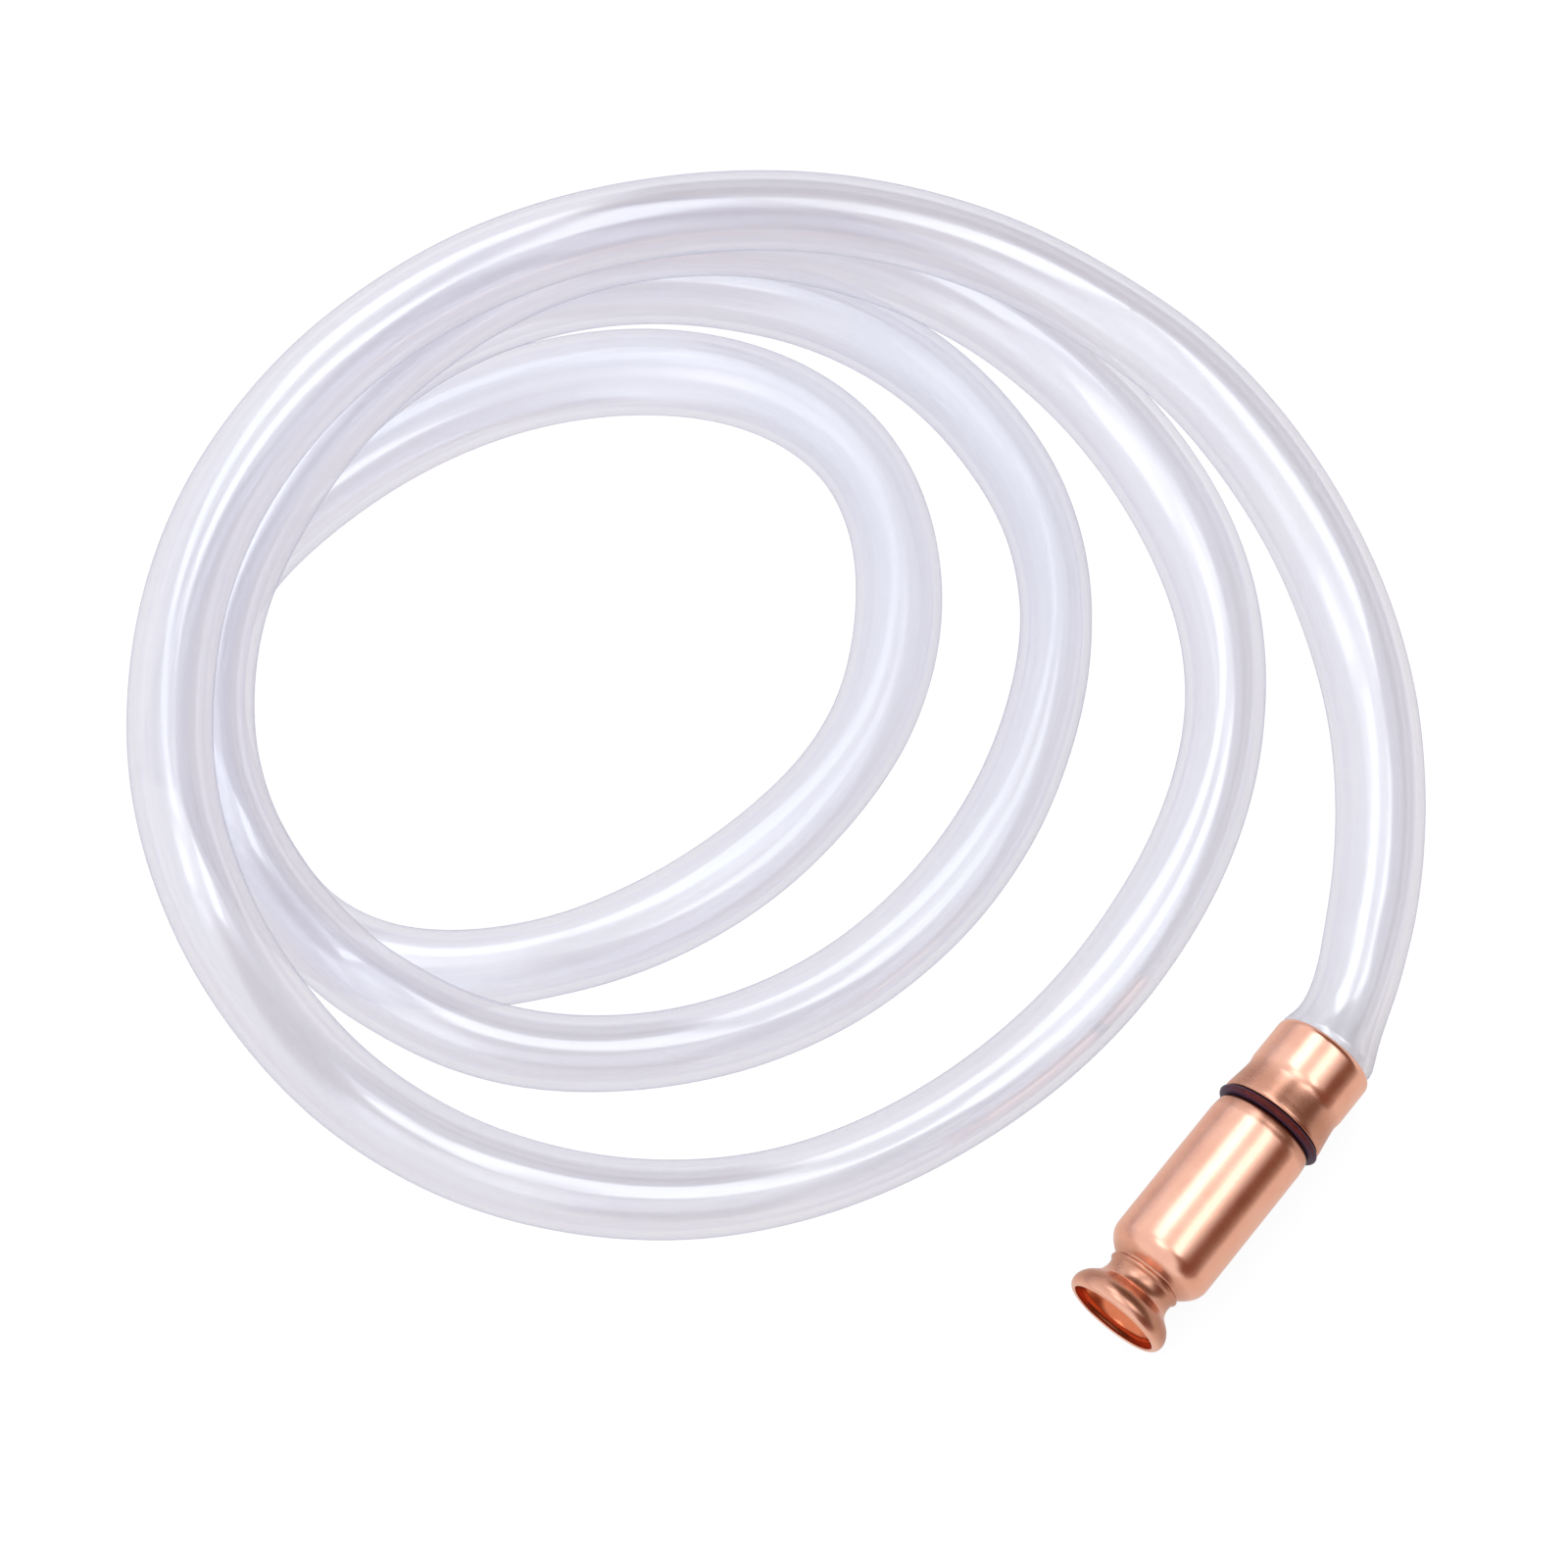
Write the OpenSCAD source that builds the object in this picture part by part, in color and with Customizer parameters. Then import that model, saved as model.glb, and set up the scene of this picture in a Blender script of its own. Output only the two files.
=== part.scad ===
// Self-priming shaker siphon: a copper foot-valve head on a coiled clear hose.
// The origin is the centre of the inlet throat, on the head's axis. The head
// lies along +Y, its mouth faces -Y, and +Z is up. The floor is at
// z = -floor_drop. Inside the modules, lengths along the head start at the
// plane of its mouth.

/* [Hose] */
// Outside diameter of the hose
hose_od = 21; // [20:0.5:21]
// Bore of the hose
hose_id = 16; // [15:0.5:17]
// Radius of the hose end where it is stretched over the spigot
stretch_r = 12.25; // [12:0.05:12.25]
// Bore radius of the stretched hose end
stretch_bore_r = 10.15; // [10.15:0.05:10.4]

/* [Coil layout] */
// Bend of the hose where it leaves the head, in degrees
neck_bend = 21; // [15:1:24]
// Bend radius of the hose between its two flex points
lead_r = 189; // [170:1:230]
// Length of the hose between its two flex points
lead_len = 80; // [70:1:90]
// Heading of the first bend station, in degrees from the head's axis
station_0 = -12; // [-14:1:-10]
// Bend radius at the station before the first turn
start_bend = 189; // [180:1:200]
// Bend radii of the first turn, at every quarter turn
turn_1_bend = [144, 164, 103, 161]; // [50:1:200]
// Bend radii of the second turn
turn_2_bend = [103, 153, 76, 136]; // [50:1:200]
// Bend radii of the third turn
turn_3_bend = [84, 135, 59, 118]; // [50:1:200]
// Bend radii of the tail
turn_4_bend = [55, 127, 118, 110]; // [50:1:200]
// Total turning of the hose from the head to its free end, in degrees
total_turn = 1290; // [1270:1:1292]

/* [Stacking] */
// Height that one turn is lifted where it lies on the next one
stack_pitch = 21.4; // [21.4:0.1:23]
// First turn on the second: starts to climb, is up, starts to drop, is down
turn_1_lift = [50, 92, 245, 296]; // [0:1:360]
// Second turn on the third
turn_2_lift = [71, 160, 275, 336]; // [0:1:360]
// Third turn on the tail
turn_3_lift = [91, 166, 238, 278]; // [0:1:360]

/* [Head] */
// Radius of the copper barrel
barrel_r = 14; // [13.95:0.05:14.2]
// Wall of the copper barrel
barrel_wall = 1; // [0.9:0.1:1]
// Radius of the throat that the water enters by
throat_r = 8.3; // [8.2:0.1:8.5]
// Radius of the check ball
ball_r = 10; // [9.9:0.05:10]
// Travel of the check ball from its seat to the stop
ball_travel = 15; // [10:1:15]
// Bore radius of the hose spigot
spigot_bore_r = 9; // [8:0.1:9.1]
// Centre-line radius of the joint O-ring
oring_r = 13.35; // [13.3:0.01:13.4]
// Section radius of the joint O-ring
oring_section = 1.75; // [1.7:0.01:1.75]

/* [Hidden] */
$fn = 64;

floor_drop = 15;                     // the head rests on its O-ring
throat_y0 = 8.5;                     // the throat's straight wall
throat_y1 = 12.4;
hose_r = hose_od / 2;
bore_r = hose_id / 2;
socket_r = hose_r + 1;               // hollow end of a flex point
knuckle_r = hose_r + 0.7;            // rounded end that turns in it
flex_y = 102;                        // first flex point, beside the collar
barrel_in = barrel_r - barrel_wall;
seat_top = 17.8;
seat_edge_r = 8.5;
ball_y = seat_top + sqrt(ball_r * ball_r - seat_edge_r * seat_edge_r) + 0.05;
stop_y = ball_y + ball_r + 15.05;
flange_y = 57;
sides = 14;                          // sides of the coiled hose
step_deg = 8;                        // turning between two of its rings
stub = 11;                           // straight start of the coil

copper = "#d08a68";
clear_pvc = [0.86, 0.86, 0.91, 0.5];

// ---------- helpers ----------
module at_throat() translate([0, -(throat_y0 + throat_y1) / 2, 0]) children();
function arc(cx, cy, r, a0, a1, n) =
    [for (i = [0 : n]) [cx + r * cos(a0 + (a1 - a0) * i / n), cy + r * sin(a0 + (a1 - a0) * i / n)]];
function smooth(x, a, b) = let (t = min(max((x - a) / (b - a), 0), 1)) t * t * (3 - 2 * t);
// turns a profile of [radius, distance along the head] into a solid about +Y
module lathe(p) rotate([-90, 0, 0]) rotate_extrude() polygon(p);
// a tube whose profile runs along +X
module lathe_x(p) rotate([0, 90, 0]) rotate_extrude() polygon(p);

// ---------- centre line of the hose ----------
bends = concat([start_bend], turn_1_bend, turn_2_bend, turn_3_bend, turn_4_bend);
function bend_at(i) = bends[min(max(i, 0), len(bends) - 1)];
// bend radius after turning by psi degrees: a smooth curve through the stations
function bend_radius(psi) =
    let (s = (psi - station_0) / 90, i = min(max(floor(s), 0), len(bends) - 2), f = s - i,
         a = bend_at(i - 1), b = bend_at(i), c = bend_at(i + 1), d = bend_at(i + 2))
    0.5 * (2 * b + (c - a) * f + (2 * a - 5 * b + 4 * c - d) * f * f + (3 * b - a - 3 * c + d) * f * f * f);
function lift(w, psi) = let (u = psi - 360 * floor(psi / 360))
    stack_pitch * smooth(u, w[0], w[1]) * (1 - smooth(u, w[2], w[3]));
// height of the centre line: each turn lies on the turns inside it
function height(psi) = hose_r - floor_drop
    + (psi < 360 ? lift(turn_1_lift, psi) + (floor_drop - hose_r) * (1 - smooth(psi, 50, 100)) : 0)
    + (psi < 720 ? lift(turn_2_lift, psi) : 0)
    + (psi < 1080 ? lift(turn_3_lift, psi) : 0);

lead_turn = lead_len / lead_r * 180 / PI;
lead_centre = [-lead_r * cos(neck_bend), flex_y - lead_r * sin(neck_bend), 0];
coil_psi = neck_bend + lead_turn;            // heading at the second flex point
flex_2 = [lead_centre[0] + lead_r * cos(coil_psi), lead_centre[1] + lead_r * sin(coil_psi), 0];
stub_turn = stub / bend_radius(coil_psi) * 180 / PI;
psi_0 = coil_psi + stub_turn;
start_point = [flex_2[0] + stub * cos(90 + coil_psi + stub_turn / 2),
               flex_2[1] + stub * sin(90 + coil_psi + stub_turn / 2), 0];
rings = round((total_turn - psi_0) / step_deg);
dpsi = (total_turn - psi_0) / rings;
function chord(psi) = 2 * bend_radius(psi + dpsi / 2) * sin(dpsi / 2);
line = [for (i = 0, p = start_point, psi = psi_0; i <= rings;
             p = [p[0] + chord(psi) * cos(90 + psi + dpsi / 2),
                  p[1] + chord(psi) * sin(90 + psi + dpsi / 2),
                  height(psi + dpsi)],
             psi = psi + dpsi, i = i + 1) [p[0], p[1], p[2], psi]];
end_point = line[rings];
// slope of the hose at ring i
function pitch(i) = (i < 2 || i > rings - 2) ? 0 :
    atan2(line[i + 1][2] - line[i - 1][2],
          norm([line[i + 1][0] - line[i - 1][0], line[i + 1][1] - line[i - 1][1]]));
// a ring of points of radius r about the centre line at ring i
function ring(i, r) = let (p = line[i], h = 90 + p[3], g = pitch(i))
    [for (k = [0 : sides - 1]) let (a = 360 * k / sides, u = r * cos(a), v = r * sin(a))
        [p[0] - u * sin(h) - v * sin(g) * cos(h),
         p[1] + u * cos(h) - v * sin(g) * sin(h),
         p[2] + v * cos(g)]];

// ---------- hollow and rounded ends of a flex point, along +X ----------
// hollow end: the tube starts outside the socket sphere and runs to x1
module socket_tube(ro, ri, x1) lathe_x(concat(
    [for (i = [0 : 6]) let (r = ri + (ro - ri) * i / 6) [r, sqrt(socket_r * socket_r - r * r)]],
    [[ro, x1], [ri, x1]]));

// ---------- copper head ----------
module valve_barrel() color(copper) difference() {
    lathe(concat(
        // curled rim and bell mouth
        [[0, 0.05], [12.75, 0], [13.25, 0.35], [13.7, 1.0], [13.93, 1.8], [13.93, 2.5], [13.8, 3.2],
         [13.55, 3.95], [13.2, 4.65], [12.7, 5.35], [11.85, 6.2], [10.95, 7.0]],
        // neck with its locating bead
        arc(12.2, 10.0, 2.9, 235, 180, 5), [[9.4, 11.3], [9.75, 11.9]],
        arc(9.35, 12.75, 0.75, -55, 55, 5), [[9.6, 13.65]],
        // rounded bottom of the barrel
        [[10.2, 14.5], [11.3, 15.7], [12.4, 16.8]],
        arc(barrel_r - 3, 19.9, 3, -52, 0, 5),
        // rolled top over the spigot's flange
        arc(barrel_r - 3.4, 59.3, 3.4, 0, 74, 7), [[0, 62.57]]));
    // bell, throat, seat pocket, ball chamber and top opening
    lathe([[0, -1], [12.0, -1], [12.2, 0.1], [12.75, 0.9], [12.95, 1.9], [12.8, 3.0], [12.3, 4.2],
           [11.5, 5.3], [10.4, 6.4], [9.3, 7.4], [throat_r, throat_y0], [throat_r, throat_y1], [8.6, 12.8], [8.6, 15.6],
           [10.1, 15.6], [10.1, 16.6], [12.0, 18.3], [12.75, 19.4], [barrel_in, 21],
           [barrel_in, 60.25], [11.55, 60.25], [11.55, 63.5], [0, 63.5]]);
}

module seat_ring() color("#26262a")
    lathe([[7.95, 15.65], [10.05, 15.65], [10.05, 16.5], [9.5, 17.8], [seat_edge_r, seat_top], [7.95, 16.9]]);

module check_ball() color([0.75, 0.85, 0.88, 0.6]) translate([0, ball_y, 0]) sphere(r = ball_r);

module ball_stop() color("#b9794f") {
    difference() {
        translate([0, stop_y, 0]) rotate([-90, 0, 0]) cylinder(r = barrel_in - 0.05, h = flange_y - 0.05 - stop_y);
        translate([0, stop_y - 1, 0]) rotate([-90, 0, 0]) cylinder(r = barrel_in - 0.9, h = 20);
    }
    for (a = [45, 135]) rotate([0, a, 0])
        translate([-(barrel_in - 0.5), stop_y, -1.1]) cube([2 * (barrel_in - 0.5), 1.6, 2.2]);
}

module spigot_tube() color(copper) lathe(concat(
    [[spigot_bore_r, flange_y], [12.9, flange_y], [12.9, 60.2], [11.5, 60.2], [11.5, 66.3], [10.1, 66.3]],
    [for (k = [0 : 2]) each [[10.1, 69 + 5 * k], [10.6, 69.4 + 5 * k], [10.1, 72.6 + 5 * k]]],
    [[10.1, 85.6], [9.6, 86.4], [spigot_bore_r, 86.4]]));

module joint_o_ring() color("#1d1d22") translate([0, 64.4, 0]) rotate([-90, 0, 0])
    rotate_extrude() translate([oring_r, 0]) circle(r = oring_section);

module hose_collar() color(copper) lathe(concat(
    [[13.15, 66.2], [14.2, 66.2]], arc(14.1, 66.65, 0.45, -60, 60, 4),
    [[14.1, 67.9], [13.85, 69.0], [13.68, 70.1], [13.6, 71.2], [13.6, 74.1], [13.68, 75.2], [13.82, 76.4], [13.85, 77.6]],
    arc(11.85, 86.9, 2.0, 0, 76, 6), [[12.3, 88.6], [12.3, 70.2], [12.6, 68.6]]));

// ---------- hose ----------
// the end that is stretched over the spigot, inside the collar
module hose_end() color(clear_pvc) difference() {
    lathe([[0, 66.5], [stretch_r, 66.5], [stretch_r, 87.6], [12.1, 88.8], [11.65, 90.6], [11.05, 92.8],
           [hose_r + 0.1, 95.2], [hose_r, 96.6], [hose_r, flex_y], [0, flex_y]]);
    lathe([[0, 60], [stretch_bore_r, 60], [stretch_bore_r, 87], [9.4, 89.4], [8.5, 91.6], [bore_r, 93.2],
           [bore_r, flex_y + 1], [0, flex_y + 1]]);
    translate([0, flex_y, 0]) sphere(r = socket_r);
}

// the short length between the two flex points, with rounded ends
module hose_lead() color(clear_pvc) intersection() {
    translate(lead_centre) rotate([0, 0, neck_bend - 4]) rotate_extrude(angle = lead_turn + 8)
        translate([lead_r, 0]) difference() { circle(r = hose_r); circle(r = bore_r); }
    union() {
        translate([0, flex_y, 0]) sphere(r = knuckle_r);
        translate(flex_2) sphere(r = knuckle_r);
        translate(lead_centre) rotate([0, 0, neck_bend]) rotate_extrude(angle = lead_turn)
            translate([lead_r - 20, -20]) square([40, 40]);
    }
}

// the coiled length, down to the free end
module hose_coil() color(clear_pvc) union() {
    ro = hose_r; ri = (bore_r + 0.1) / cos(180 / sides);
    n = sides; m = rings + 1;
    polyhedron(
        points = [for (i = [0 : rings]) each concat(ring(i, ro), ring(i, ri))],
        faces = concat(
            [for (i = [0 : rings - 1], k = [0 : n - 1]) let (q = (k + 1) % n, a = i * 2 * n, b = (i + 1) * 2 * n)
                each [[a + k, b + q, a + q], [a + k, b + k, b + q],
                      [a + n + k, a + n + q, b + n + q], [a + n + k, b + n + q, b + n + k]]],
            [for (k = [0 : n - 1]) let (q = (k + 1) % n) each
                [[k, q, n + q], [k, n + q, n + k]]],
            [for (k = [0 : n - 1]) let (q = (k + 1) % n, a = rings * 2 * n) each
                [[a + k, a + n + q, a + q], [a + k, a + n + k, a + n + q]]]));
    // hollow start at the second flex point
    translate(flex_2) rotate([0, 0, 90 + coil_psi + stub_turn / 2])
        socket_tube(hose_r + 0.1, bore_r - 0.1, stub + 1);
    // free end, cut square
    translate([end_point[0], end_point[1], end_point[2]]) rotate([0, 0, 90 + end_point[3]])
        lathe_x([[bore_r, -1], [hose_r + 0.1, -1], [hose_r + 0.1, 12.4], [hose_r - 0.3, 12.9],
                 [bore_r + 0.2, 12.9], [bore_r, 12.7]]);
}

at_throat() valve_barrel();
at_throat() seat_ring();
at_throat() check_ball();
at_throat() ball_stop();
at_throat() spigot_tube();
at_throat() joint_o_ring();
at_throat() hose_collar();
at_throat() hose_end();
at_throat() hose_lead();
at_throat() hose_coil();
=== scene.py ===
"""Self-priming shaker siphon: the looks of the copper foot-valve head and its coiled clear hose,
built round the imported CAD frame. Metres, CAD frame: origin at the throat's centre, head along +Y, +Z up."""

import math

import bpy
import numpy as np
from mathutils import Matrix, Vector


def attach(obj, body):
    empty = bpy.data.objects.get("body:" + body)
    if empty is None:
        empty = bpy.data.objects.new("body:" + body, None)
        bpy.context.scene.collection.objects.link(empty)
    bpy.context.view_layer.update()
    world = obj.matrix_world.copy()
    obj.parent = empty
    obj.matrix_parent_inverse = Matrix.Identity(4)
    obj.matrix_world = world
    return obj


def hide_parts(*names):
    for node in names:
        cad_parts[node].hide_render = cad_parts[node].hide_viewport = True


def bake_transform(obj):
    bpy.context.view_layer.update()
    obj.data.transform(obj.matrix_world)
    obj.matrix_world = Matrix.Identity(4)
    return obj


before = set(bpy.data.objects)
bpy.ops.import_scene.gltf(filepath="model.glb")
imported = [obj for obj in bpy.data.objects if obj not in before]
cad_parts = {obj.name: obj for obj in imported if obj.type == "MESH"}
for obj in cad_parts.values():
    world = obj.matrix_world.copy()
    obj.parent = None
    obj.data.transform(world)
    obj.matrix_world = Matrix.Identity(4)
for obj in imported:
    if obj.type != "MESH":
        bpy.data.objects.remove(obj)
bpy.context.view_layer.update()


scene = bpy.context.scene
MM = 0.001
SHIFT = -10.45  # lengths along the head start at the mouth's plane, the origin is the throat's centre
FLOOR = -15.0

# ------------------------------------------------------------------ small helpers


def smooth(x, a, b):
    t = np.clip((np.asarray(x, float) - a) / (b - a), 0, 1)
    return t * t * (3 - 2 * t)


def arc(cx, cy, r, a0, a1, n):
    return [
        (
            cx + r * math.cos(math.radians(a0 + (a1 - a0) * i / n)),
            cy + r * math.sin(math.radians(a0 + (a1 - a0) * i / n)),
        )
        for i in range(n + 1)
    ]


def through(points, step=0.28):
    """A smooth curve through the points (centripetal Catmull-Rom), sampled about every step mm."""
    p = [np.array(q, float) for q in points]
    p = [2 * p[0] - p[1]] + p + [2 * p[-1] - p[-2]]
    out = []
    for i in range(1, len(p) - 2):
        a, b, c, d = p[i - 1 : i + 3]
        t0 = 0.0
        t1 = t0 + max(np.linalg.norm(b - a), 1e-6) ** 0.5
        t2 = t1 + max(np.linalg.norm(c - b), 1e-6) ** 0.5
        t3 = t2 + max(np.linalg.norm(d - c), 1e-6) ** 0.5
        n = max(1, int(math.ceil(np.linalg.norm(c - b) / step)))
        for k in range(n):
            t = t1 + (t2 - t1) * k / n
            a1 = (t1 - t) / (t1 - t0) * a + (t - t0) / (t1 - t0) * b
            a2 = (t2 - t) / (t2 - t1) * b + (t - t1) / (t2 - t1) * c
            a3 = (t3 - t) / (t3 - t2) * c + (t - t2) / (t3 - t2) * d
            b1 = (t2 - t) / (t2 - t0) * a1 + (t - t0) / (t2 - t0) * a2
            b2 = (t3 - t) / (t3 - t1) * a2 + (t - t1) / (t3 - t1) * a3
            out.append(tuple((t2 - t) / (t2 - t1) * b1 + (t - t1) / (t2 - t1) * b2))
    out.append(tuple(p[-2]))
    return out


def make_object(name, verts, faces, mats, face_mats=None, uv=None, attrs=None, sharp_deg=None):
    me = bpy.data.meshes.new(name)
    me.from_pydata([tuple(v) for v in verts], [], faces)
    me.validate(clean_customdata=False)
    me.polygons.foreach_set("use_smooth", [True] * len(me.polygons))
    for m in mats:
        me.materials.append(m)
    if face_mats is not None:
        me.polygons.foreach_set("material_index", face_mats)
    if uv is not None:
        layer = me.uv_layers.new(name="UVMap")
        layer.data.foreach_set("uv", np.asarray(uv, np.float32).ravel())
    for key, values in (attrs or {}).items():
        a = me.attributes.new(key, "FLOAT_VECTOR", "POINT")
        a.data.foreach_set("vector", np.asarray(values, np.float32).ravel())
    me.update()
    if sharp_deg is not None:
        me.set_sharp_from_angle(angle=math.radians(sharp_deg))
    ob = bpy.data.objects.new(name, me)
    scene.collection.objects.link(ob)
    return ob


def lathe(name, profile, mats, segs=144, sharp_deg=38, inside=None):
    """A closed profile of (radius, length along the head), mm, turned about the head's axis. inside(r, y) is
    true where a face takes the second material."""
    p = [profile[0]]
    for q in profile[1:]:
        if math.hypot(q[0] - p[-1][0], q[1] - p[-1][1]) > 1e-4:
            p.append(q)
    if math.hypot(p[0][0] - p[-1][0], p[0][1] - p[-1][1]) < 1e-4:
        p.pop()
    n = len(p)
    area = sum(p[i][0] * p[(i + 1) % n][1] - p[(i + 1) % n][0] * p[i][1] for i in range(n))
    if area < 0:
        p.reverse()
    which = [1 if inside and inside(*[(p[i][k] + p[(i + 1) % n][k]) / 2 for k in (0, 1)]) else 0 for i in range(n)]
    run = [0.0]
    for i in range(n):
        a, b = p[i], p[(i + 1) % n]
        run.append(run[-1] + math.hypot(b[0] - a[0], b[1] - a[1]))
    verts, faces, uv, face_mats = [], [], [], []
    for j in range(segs):
        t = 2 * math.pi * j / segs
        for r, y in p:
            verts.append((r * math.sin(t) * MM, (y + SHIFT) * MM, r * math.cos(t) * MM))
    for j in range(segs):
        q = (j + 1) % segs
        for i in range(n):
            k = (i + 1) % n
            faces.append((q * n + i, q * n + k, j * n + k, j * n + i))
            face_mats.append(which[i])
            u0, u1 = j / segs, (j + 1) / segs
            v0, v1 = run[i] / 90, run[i + 1] / 90
            uv += [(u1, v0), (u1, v1), (u0, v1), (u0, v0)]
    return make_object(name, verts, faces, mats, face_mats, uv=uv, sharp_deg=sharp_deg)


# ------------------------------------------------------------------ node material helpers


class Nodes:
    def __init__(self, name):
        self.mat = bpy.data.materials.new(name)
        self.mat.use_nodes = True
        self.t = self.mat.node_tree
        self.t.nodes.clear()
        self.out = self.t.nodes.new("ShaderNodeOutputMaterial")

    def new(self, kind, **values):
        n = self.t.nodes.new(kind)
        for k, v in values.items():
            if hasattr(n, k) and k not in n.inputs:
                setattr(n, k, v)
            else:
                self.put(n, k, v)
        return n

    def put(self, n, key, v):
        socket = n.inputs[key]
        if isinstance(v, bpy.types.NodeSocket):
            self.t.links.new(v, socket)
        else:
            socket.default_value = v

    def math(self, op, a, b=None, c=None, clamp=False):
        n = self.t.nodes.new("ShaderNodeMath")
        n.operation, n.use_clamp = op, clamp
        for i, v in enumerate((a, b, c)):
            if v is not None:
                self.put(n, i, v)
        return n.outputs[0]

    def ramp(self, fac, stops, mode="LINEAR"):
        n = self.t.nodes.new("ShaderNodeValToRGB")
        n.color_ramp.interpolation = mode
        e = n.color_ramp.elements
        while len(e) < len(stops):
            e.new(0.5)
        for i, (at, col) in enumerate(stops):
            e[i].position = at
            e[i].color = col if len(col) == 4 else (*col, 1)
        self.put(n, "Fac", fac)
        return n.outputs["Color"]

    def mix(self, fac, a, b):
        n = self.t.nodes.new("ShaderNodeMix")
        n.data_type = "RGBA"
        self.put(n, 0, fac)
        n_in = [s for s in n.inputs if s.type == "RGBA"]
        for s, v in zip(n_in, (a, b)):
            if isinstance(v, bpy.types.NodeSocket):
                self.t.links.new(v, s)
            else:
                s.default_value = v if len(v) == 4 else (*v, 1)
        return [s for s in n.outputs if s.type == "RGBA"][0]

    def stretch(self, vector, scale):
        n = self.t.nodes.new("ShaderNodeMapping")
        self.put(n, "Vector", vector)
        n.inputs["Scale"].default_value = scale
        return n.outputs[0]

    def noise(self, vector, scale, detail=3.0, rough=0.5):
        n = self.t.nodes.new("ShaderNodeTexNoise")
        self.put(n, "Vector", vector)
        n.inputs["Scale"].default_value = scale
        n.inputs["Detail"].default_value = detail
        n.inputs["Roughness"].default_value = rough
        return n.outputs[0]

    def bump(self, height, strength, distance, normal=None):
        n = self.t.nodes.new("ShaderNodeBump")
        self.put(n, "Height", height)
        n.inputs["Strength"].default_value = strength
        n.inputs["Distance"].default_value = distance
        if normal is not None:
            self.put(n, "Normal", normal)
        return n.outputs[0]

    def surface(self, socket):
        self.t.links.new(socket, self.out.inputs["Surface"])
        return self.mat


def copper(name, tone=1.0, rough=0.2, painted_shade_bands=()):
    """Turned and polished copper: fine turning rings, soft scratches, faint patchy tone, and bands of painted shade.
    """
    m = Nodes(name)
    pos = m.new("ShaderNodeTexCoord").outputs["Object"]
    cloud = m.noise(pos, 95.0, 4.0, 0.55)
    rings = m.noise(m.stretch(pos, (60, 5200, 60)), 1.0, 3.0, 0.6)
    grain = m.noise(pos, 2600.0, 2.0, 0.6)
    scratch = m.noise(m.stretch(pos, (900, 90, 900)), 1.0, 5.0, 0.7)
    colour = m.ramp(
        cloud,
        [
            (0.25, (0.86 * tone, 0.445 * tone, 0.315 * tone)),
            (0.5, (0.925 * tone, 0.512 * tone, 0.365 * tone)),
            (0.78, (0.95 * tone, 0.56 * tone, 0.415 * tone)),
        ],
    )
    # painted shade: duller, browner metal in bands round the rubber ring and the collar's waist, in the groove of the
    # neck and at the lip, painted dark to stand in for the shade and dark reflections there; the bands are also
    # rougher
    along = m.new("ShaderNodeSeparateXYZ", Vector=pos).outputs[1]
    dull = 0.0
    for at, wide, much in painted_shade_bands:
        away = m.math("DIVIDE", m.math("ABSOLUTE", m.math("SUBTRACT", along, (at + SHIFT) * MM)), wide * MM)
        near = m.math("SUBTRACT", 1.0, m.math("POWER", away, 2.0), clamp=True)
        near = m.math("MULTIPLY", near, m.math("MULTIPLY_ADD", cloud, 0.8 * much, 0.6 * much))
        # painted shade: each band pulls the colour toward this dark brown
        colour = m.mix(near, colour, (0.46, 0.20, 0.12))
        dull = m.math("MAXIMUM", dull, near)
    wear = m.math("MULTIPLY", m.math("SUBTRACT", scratch, 0.52), 0.5, clamp=True)
    colour = m.mix(wear, colour, (0.97, 0.66, 0.53))
    r = m.math("ADD", m.math("MULTIPLY", cloud, 0.10), rough - 0.05)
    r = m.math("ADD", r, m.math("MULTIPLY", m.math("SUBTRACT", rings, 0.5), 0.10))
    r = m.math("ADD", r, m.math("MULTIPLY", dull, 0.10))
    normal = m.bump(rings, 0.16, 0.00006)
    normal = m.bump(grain, 0.10, 0.00005, normal)
    normal = m.bump(cloud, 0.12, 0.0004, normal)
    p = m.new(
        "ShaderNodeBsdfPrincipled",
        **{"Base Color": colour, "Metallic": 1.0, "Roughness": r, "Normal": normal},
    )
    return m.surface(p.outputs[0])


def mouth(name):
    """Inside the mouth: brighter, redder metal, with the light of its own reflections painted in as a deeper red base
    colour and a faint glow.
    """
    m = Nodes(name)
    pos = m.new("ShaderNodeTexCoord").outputs["Object"]
    cloud = m.noise(pos, 140.0, 3.0, 0.55)
    rings = m.noise(m.stretch(pos, (60, 4200, 60)), 1.0, 3.0, 0.6)
    # painted light: the deeper red colour and the faint emission stand in for light bounced round inside the mouth
    colour = m.ramp(cloud, [(0.3, (0.56, 0.15, 0.065)), (0.7, (0.66, 0.21, 0.10))])
    glow = m.ramp(cloud, [(0.3, (0.50, 0.085, 0.025)), (0.7, (0.62, 0.13, 0.05))])
    normal = m.bump(rings, 0.14, 0.00006)
    p = m.new(
        "ShaderNodeBsdfPrincipled",
        **{"Base Color": colour, "Metallic": 1.0, "Roughness": 0.17, "Normal": normal,
           "Emission Color": glow, "Emission Strength": 0.09},
    )
    return m.surface(p.outputs[0])


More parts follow.
